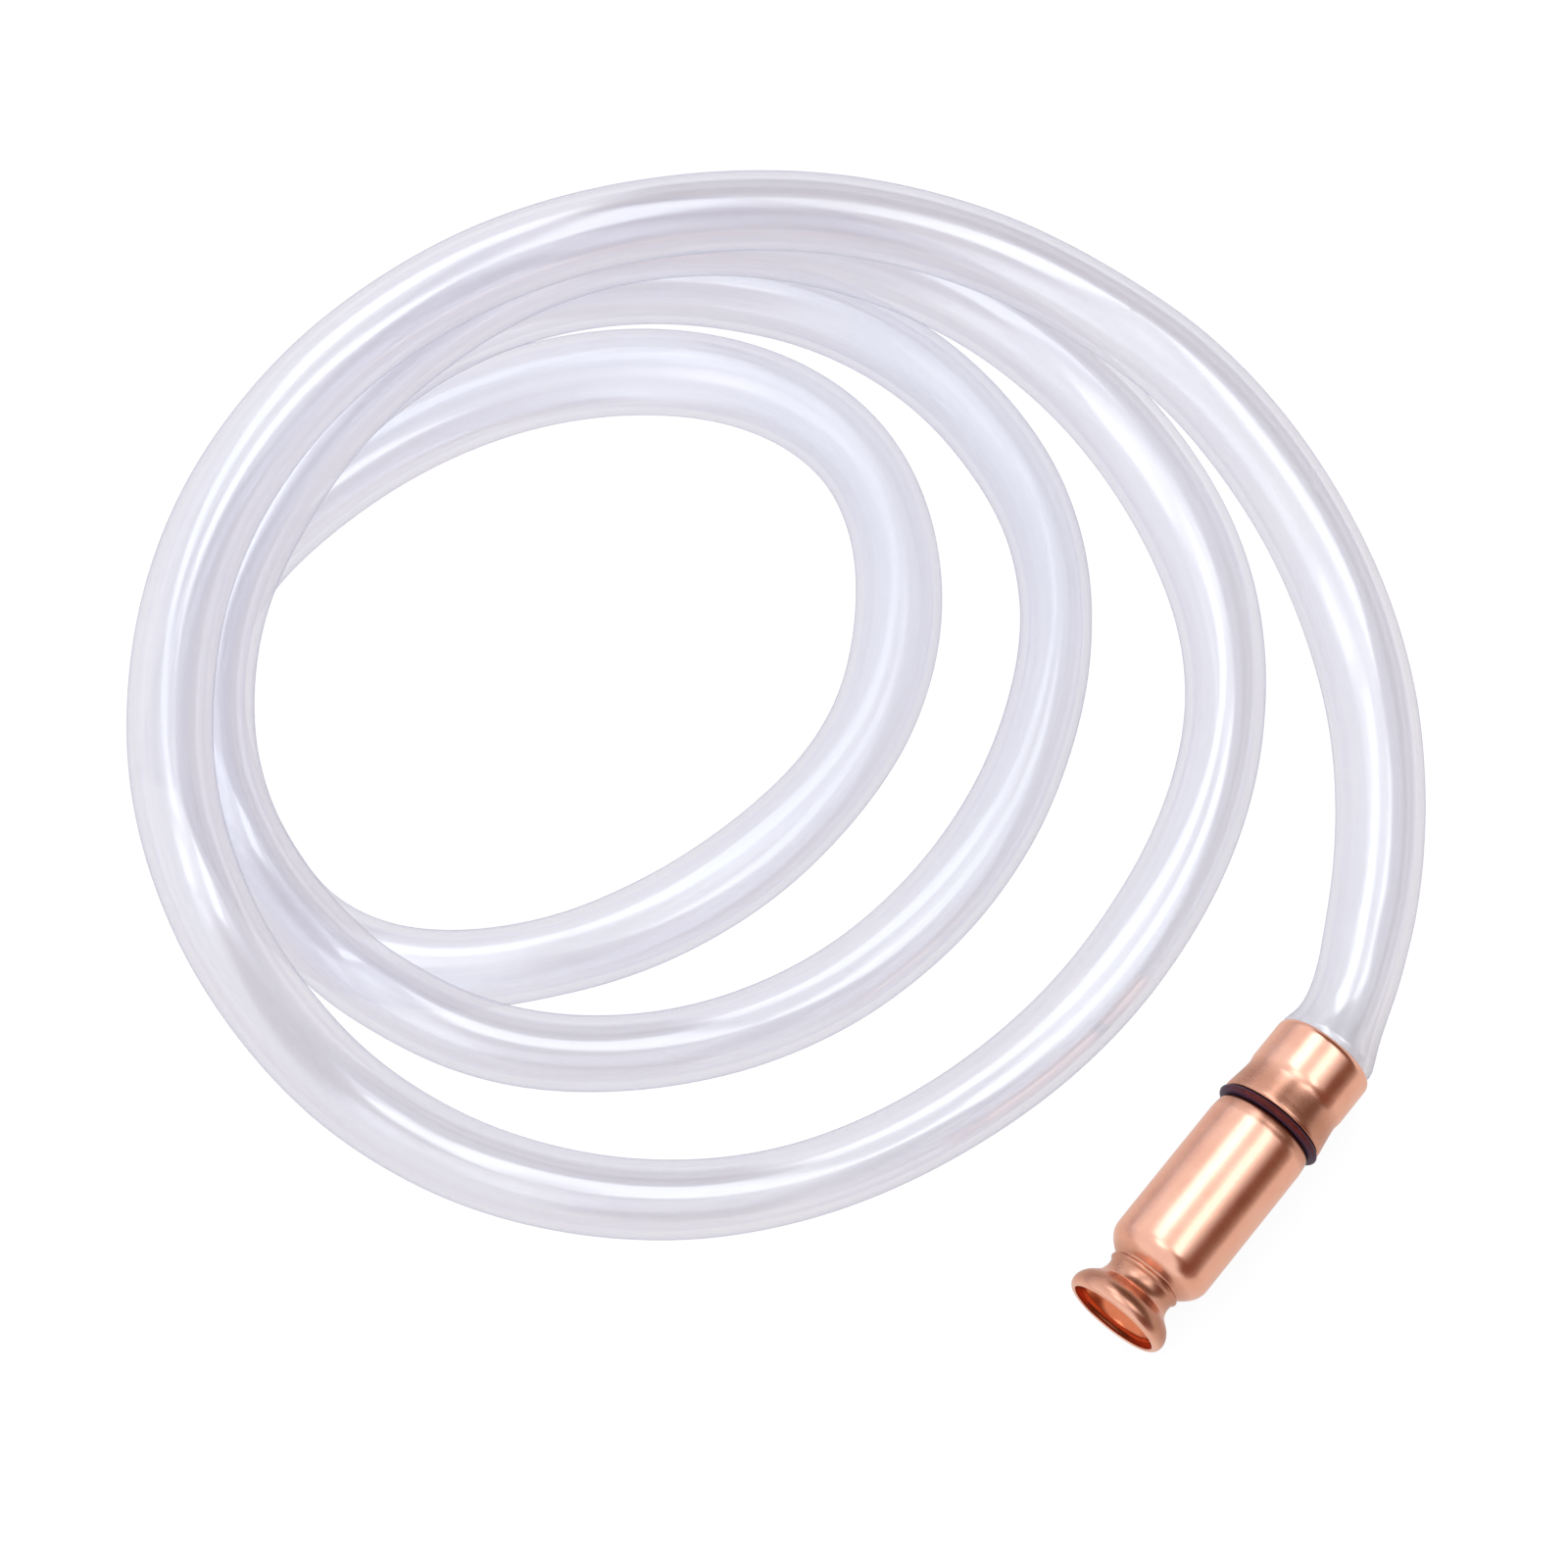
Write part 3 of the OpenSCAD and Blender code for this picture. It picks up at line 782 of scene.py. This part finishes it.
# ------------------------------------------------------------------ the copper head
barrel = lathe(
    "barrel_shell",
    through([(12.0, 0.25), (12.12, 0.06), (12.4, 0.0), (12.75, 0.03), (13.25, 0.35), (13.7, 1.0), (13.93, 1.8),
             (13.96, 2.4), (13.85, 3.1), (13.58, 3.9), (13.2, 4.62), (12.68, 5.35), (11.85, 6.15), (10.95, 6.9),
             (10.2, 7.65), (9.68, 8.6), (9.38, 9.6), (9.3, 10.6), (9.36, 11.4)])
    + through([(9.36, 11.4), (9.42, 11.75), (9.7, 12.1), (10.0, 12.45), (10.08, 12.78), (10.0, 13.1), (9.72, 13.4),
               (9.55, 13.62)], 0.12)
    + through([(9.55, 13.62), (9.7, 13.95), (10.25, 14.42), (11.3, 15.3), (12.35, 16.35), (13.15, 17.45),
               (13.68, 18.6), (13.93, 19.7), (14.0, 21.0)])[1:]
    + [(14.0, 24.0), (14.0, 30.0), (14.0, 38.0), (14.0, 46.0), (14.0, 53.0), (14.0, 57.5)]
    + through([(14.0, 58.4), (13.96, 59.4), (13.84, 60.4), (13.72, 61.5), (13.5, 62.4), (13.05, 63.0), (12.4, 63.25), (11.8, 63.28)])
    + [(11.55, 63.2), (11.55, 60.3), (11.7, 60.25), (12.9, 60.25), (13.0, 60.1), (13.0, 40.0), (13.0, 21.2)]
    + through([(13.0, 21.0), (12.75, 19.4), (12.0, 18.3), (10.9, 17.3), (10.1, 16.6)])
    + [(10.1, 15.6), (8.6, 15.6), (8.6, 12.8)]
    + [(8.3, 12.4), (8.3, 8.6)]
    + through([(8.3, 8.5), (8.6, 7.98), (9.3, 7.35), (10.4, 6.4), (11.5, 5.3), (12.25, 4.2), (12.72, 3.0),
               (12.8, 1.9), (12.6, 1.0), (12.25, 0.45), (12.0, 0.25)]),
    [mat_copper, mat_mouth_painted_glow],
    segs=160,
    inside=lambda r, y: 0.3 < y < 12.6 and r < 12.82 and r < 8.35 + max(0.0, 8.6 - y) * 0.66 + 1.35 * (y < 7.4) - 0.9 * (y < 1.2) and r < (9.25 if y > 8.4 else 99),
)
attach(barrel, "head")
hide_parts("valve_barrel")

collar = lathe(
    "collar_shell",
    through([(13.0, 65.5), (13.9, 65.5), (14.28, 65.6), (14.5, 65.9), (14.56, 66.4), (14.5, 67.0), (14.4, 67.7),
             (14.24, 68.7), (14.08, 69.8), (13.92, 70.9), (13.77, 72.0), (13.64, 73.1), (13.56, 74.0), (13.56, 74.7),
             (13.66, 75.4), (13.79, 76.1), (13.85, 77.0), (13.85, 78.0)])
    + [(13.85, 80.0), (13.85, 84.0), (13.85, 86.4)]
    + through([(13.85, 86.9), (13.78, 87.6), (13.5, 88.3), (13.05, 88.78), (12.6, 88.86), (12.35, 88.7)])
    + [(12.3, 88.4), (12.3, 80.0), (12.3, 70.2), (12.6, 68.6)],
    [mat_copper],
    segs=160,
)
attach(collar, "head")
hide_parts("hose_collar")

spigot = lathe(
    "barbed_spigot",
    [(9.0, 57.0), (12.9, 57.0), (12.9, 60.2), (11.5, 60.2), (11.5, 66.3), (10.1, 66.3)]
    + [q for k in range(3) for q in ((10.1, 69 + 5 * k), (10.6, 69.4 + 5 * k), (10.1, 72.6 + 5 * k))]
    + [(10.1, 85.6)]
    + arc(9.6, 85.8, 0.5, 0, 90, 6)
    + [(9.1, 86.4), (9.0, 86.2)],
    [mat_copper_in],
    segs=96,
    sharp_deg=25,
)
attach(spigot, "head")
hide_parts("spigot_tube")

# O-ring with its moulding flash
oring = lathe(
    "joint_ring",
    [
        (
            13.3 + (1.72 + 0.04 * math.exp(-(((a + 180) % 360 - 180) / 5) ** 2)) * math.cos(math.radians(a)),
            64.4 + 1.04 * math.copysign(abs(math.sin(math.radians(a))) ** 0.85, math.sin(math.radians(a))),
        )
        for a in range(0, 360, 6)
    ],
    [mat_rubber],
    segs=160,
)
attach(oring, "head")
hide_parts("joint_o_ring")

seat = lathe(
    "seat_washer",
    [(7.95, 15.65), (10.05, 15.65), (10.05, 16.5), (9.9, 16.9), (9.6, 17.6), (9.5, 17.75), (9.35, 17.8), (8.5, 17.8),
     (7.95, 16.9)],
    [mat_seat],
    segs=96,
)
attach(seat, "head")
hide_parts("seat_ring")

BALL_Y = 17.8 + math.sqrt(100 - 8.5**2) + 0.05
# a solid ball, so it closes to a point at each pole
ball_rows = [
    ((10.0 - 0.03 + 0.03 * math.exp(-((a / 3.0) ** 2))) * math.cos(math.radians(a)), 9.98 * math.sin(math.radians(a)))
    for a in range(-87, 88, 3)
]
ball_verts = [(0.0, (BALL_Y - 9.98 + SHIFT) * MM, 0.0), (0.0, (BALL_Y + 9.98 + SHIFT) * MM, 0.0)]
for r, y in ball_rows:
    for j in range(96):
        t = 2 * math.pi * j / 96
        ball_verts.append((r * math.sin(t) * MM, (BALL_Y + y + SHIFT) * MM, r * math.cos(t) * MM))
ball_faces, ball_uv, last = [], [], len(ball_rows) - 1
for j in range(96):
    q, u0, u1 = (j + 1) % 96, j / 96, (j + 1) / 96
    ball_faces.append((0, 2 + q, 2 + j))
    ball_uv += [(u0, 0.0), (u1, 0.01), (u0, 0.01)]
    for i in range(last):
        a, b, v0, v1 = 2 + i * 96, 2 + (i + 1) * 96, 0.01 + 0.33 * i / last, 0.01 + 0.33 * (i + 1) / last
        ball_faces.append((a + q, b + q, b + j, a + j))
        ball_uv += [(u1, v0), (u1, v1), (u0, v1), (u0, v0)]
    ball_faces.append((2 + last * 96 + q, 1, 2 + last * 96 + j))
    ball_uv += [(u1, 0.34), (u0, 0.35), (u0, 0.34)]
ball = make_object("loose_marble", ball_verts, ball_faces, [mat_ball], [0] * len(ball_faces), uv=ball_uv, sharp_deg=60)
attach(ball, "ball")
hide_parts("check_ball")

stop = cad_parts["ball_stop"]
stop.data.materials.clear()
stop.data.materials.append(mat_stop)

# ------------------------------------------------------------------ floor, light, camera
floor_me = bpy.data.meshes.new("floor")
F = 9.0
floor_me.from_pydata(
    [(-F, -F, FLOOR * MM), (F, -F, FLOOR * MM), (F, F, FLOOR * MM), (-F, F, FLOOR * MM)], [], [(0, 1, 2, 3)]
)
floor = bpy.data.objects.new("floor", floor_me)
scene.collection.objects.link(floor)
fm = Nodes("floor_paper")
pos = fm.new("ShaderNodeTexCoord").outputs["Object"]
paper = fm.noise(pos, 40.0, 3.0, 0.5)
paper_col = fm.ramp(paper, [(0.3, (0.115, 0.115, 0.117)), (0.7, (0.125, 0.125, 0.125))])
d = fm.new("ShaderNodeBsdfDiffuse", Color=paper_col)
floor_path = fm.t.nodes.new("ShaderNodeLightPath")
mirrored = fm.math("MULTIPLY", floor_path.outputs["Is Glossy Ray"], 1.0)
glow_col = fm.mix(mirrored, (0.93, 0.93, 0.93), (0.70, 0.63, 0.60))
glow = fm.new("ShaderNodeEmission", Color=glow_col, Strength=1.0)
both = fm.new("ShaderNodeAddShader")
fm.t.links.new(d.outputs[0], both.inputs[0])
fm.t.links.new(glow.outputs[0], both.inputs[1])
floor_me.materials.append(fm.surface(both.outputs[0]))

# soft studio: a pale room, two ceiling softboxes beside each other, a darker side to the front and right
TURN = math.radians(39.336)  # the camera's right in plan, from +X
world = bpy.data.worlds.new("studio")
scene.world = world
world.use_nodes = True


class World(Nodes):
    def __init__(self):
        self.t = world.node_tree
        self.t.nodes.clear()
        self.out = self.t.nodes.new("ShaderNodeOutputWorld")


w = World()
direction = w.new("ShaderNodeTexCoord").outputs["Generated"]
turned = w.t.nodes.new("ShaderNodeVectorRotate")
turned.rotation_type = "Z_AXIS"
w.put(turned, "Vector", direction)
turned.inputs["Angle"].default_value = -TURN
sep = w.t.nodes.new("ShaderNodeSeparateXYZ")
w.put(sep, 0, turned.outputs[0])
dx, dy, dz = sep.outputs


def step(x, a, b):
    n = w.t.nodes.new("ShaderNodeMapRange")
    n.interpolation_type = "SMOOTHSTEP"
    w.put(n, "Value", x)
    n.inputs["From Min"].default_value, n.inputs["From Max"].default_value = a, b
    return n.outputs[0]


def both_of(*v):
    r = v[0]
    for q in v[1:]:
        r = w.math("MULTIPLY", r, q)
    return r


zz = w.math("MAXIMUM", dz, 0.05)
pu, pv = w.math("DIVIDE", dx, zz), w.math("DIVIDE", dy, zz)


def panel(u0, u1, v0, v1, soft=0.05):
    return both_of(
        step(pu, u0 - soft, u0 + soft),
        w.math("SUBTRACT", 1.0, step(pu, u1 - soft, u1 + soft)),
        step(pv, v0 - soft, v0 + soft),
        w.math("SUBTRACT", 1.0, step(pv, v1 - soft, v1 + soft)),
        step(dz, 0.2, 0.3),
    )


box_a = panel(0.29, 0.62, -0.30, 0.45)
# its left edge leans
lean = w.math("ADD", pu, w.math("MULTIPLY", w.math("SUBTRACT", pv, 0.4), 0.44))
box_b = both_of(panel(-0.70, -0.04, 0.39, 1.05, 0.03), step(lean, -0.34, -0.26))
box_d = panel(-0.10, 0.12, 0.52, 1.15, 0.05)
box_b_low = panel(-0.44, -0.02, -0.16, 0.42, 0.09)
box_c = panel(-0.52, -0.16, -0.20, 0.26, 0.05)
# the darker side: to the front, and more to the right
q = w.math("MULTIPLY", w.math("SUBTRACT", dx, dy), 0.707)
dark_right = both_of(step(q, 0.56, 0.80), step(dz, 0.07, 0.38))
dark_front = both_of(step(w.math("MULTIPLY", dy, -1.0), 0.10, 0.42), step(dx, -0.05, 0.30))
# and a dark corner of the room to the back and right
corner = w.math("ADD", w.math("MULTIPLY", pu, 0.6), w.math("MULTIPLY", pv, 0.8))
dark_back = both_of(step(corner, 0.50, 0.64), step(pu, 0.0, 0.25), step(dz, 0.05, 0.3))
box_a = w.math("MULTIPLY", box_a, w.math("SUBTRACT", 1.0, step(corner, 0.52, 0.58)))


def rgb(c):
    n = w.t.nodes.new("ShaderNodeRGB")
    n.outputs[0].default_value = (*c, 1)
    return n.outputs[0]


room = w.mix(dark_front, rgb((1.02, 1.02, 1.07)), rgb((0.37, 0.26, 0.225)))
room = w.mix(dark_right, room, rgb((0.22, 0.085, 0.055)))
room = w.mix(dark_back, room, rgb((0.20, 0.11, 0.07)))
room = w.mix(box_a, room, rgb((2.3, 2.45, 2.6)))
room = w.mix(box_b_low, room, rgb((1.50, 1.53, 1.60)))
room = w.mix(box_c, room, rgb((2.2, 2.3, 2.45)))
room = w.mix(box_d, room, rgb((2.2, 2.3, 2.45)))
room = w.mix(box_b, room, rgb((2.4, 2.65, 3.0)))
light = w.t.nodes.new("ShaderNodeBackground")
w.put(light, "Color", room)
plain = w.t.nodes.new("ShaderNodeBackground")
plain.inputs["Color"].default_value = (1.0, 1.0, 1.0, 1)
plain.inputs["Strength"].default_value = 1.02
path = w.t.nodes.new("ShaderNodeLightPath")
pick = w.t.nodes.new("ShaderNodeMixShader")
w.t.links.new(path.outputs["Is Camera Ray"], pick.inputs[0])
w.t.links.new(light.outputs[0], pick.inputs[1])
w.t.links.new(plain.outputs[0], pick.inputs[2])
w.t.links.new(pick.outputs[0], w.out.inputs["Surface"])

cam_data = bpy.data.cameras.new("camera")
cam_data.lens, cam_data.sensor_width = 90.0, 36.0
cam = bpy.data.objects.new("camera", cam_data)
scene.collection.objects.link(cam)
cam.location = (0.0744, -0.2304, 0.9610)
look = Vector((-0.1569, 0.0519, -0.0150)) - Vector(cam.location)
cam.rotation_mode = "QUATERNION"
cam.rotation_quaternion = look.to_track_quat("-Z", "Y")
cam_data.clip_start, cam_data.clip_end = 0.01, 50.0
scene.camera = cam

scene.view_settings.view_transform = "Standard"
scene.view_settings.look = "None"
scene.cycles.transparent_max_bounces = 48
scene.cycles.max_bounces = 8
scene.cycles.diffuse_bounces = 3
scene.cycles.glossy_bounces = 4
scene.cycles.caustics_reflective = False
scene.cycles.caustics_refractive = False
world.cycles.sampling_method = "MANUAL"
world.cycles.sample_map_resolution = 512
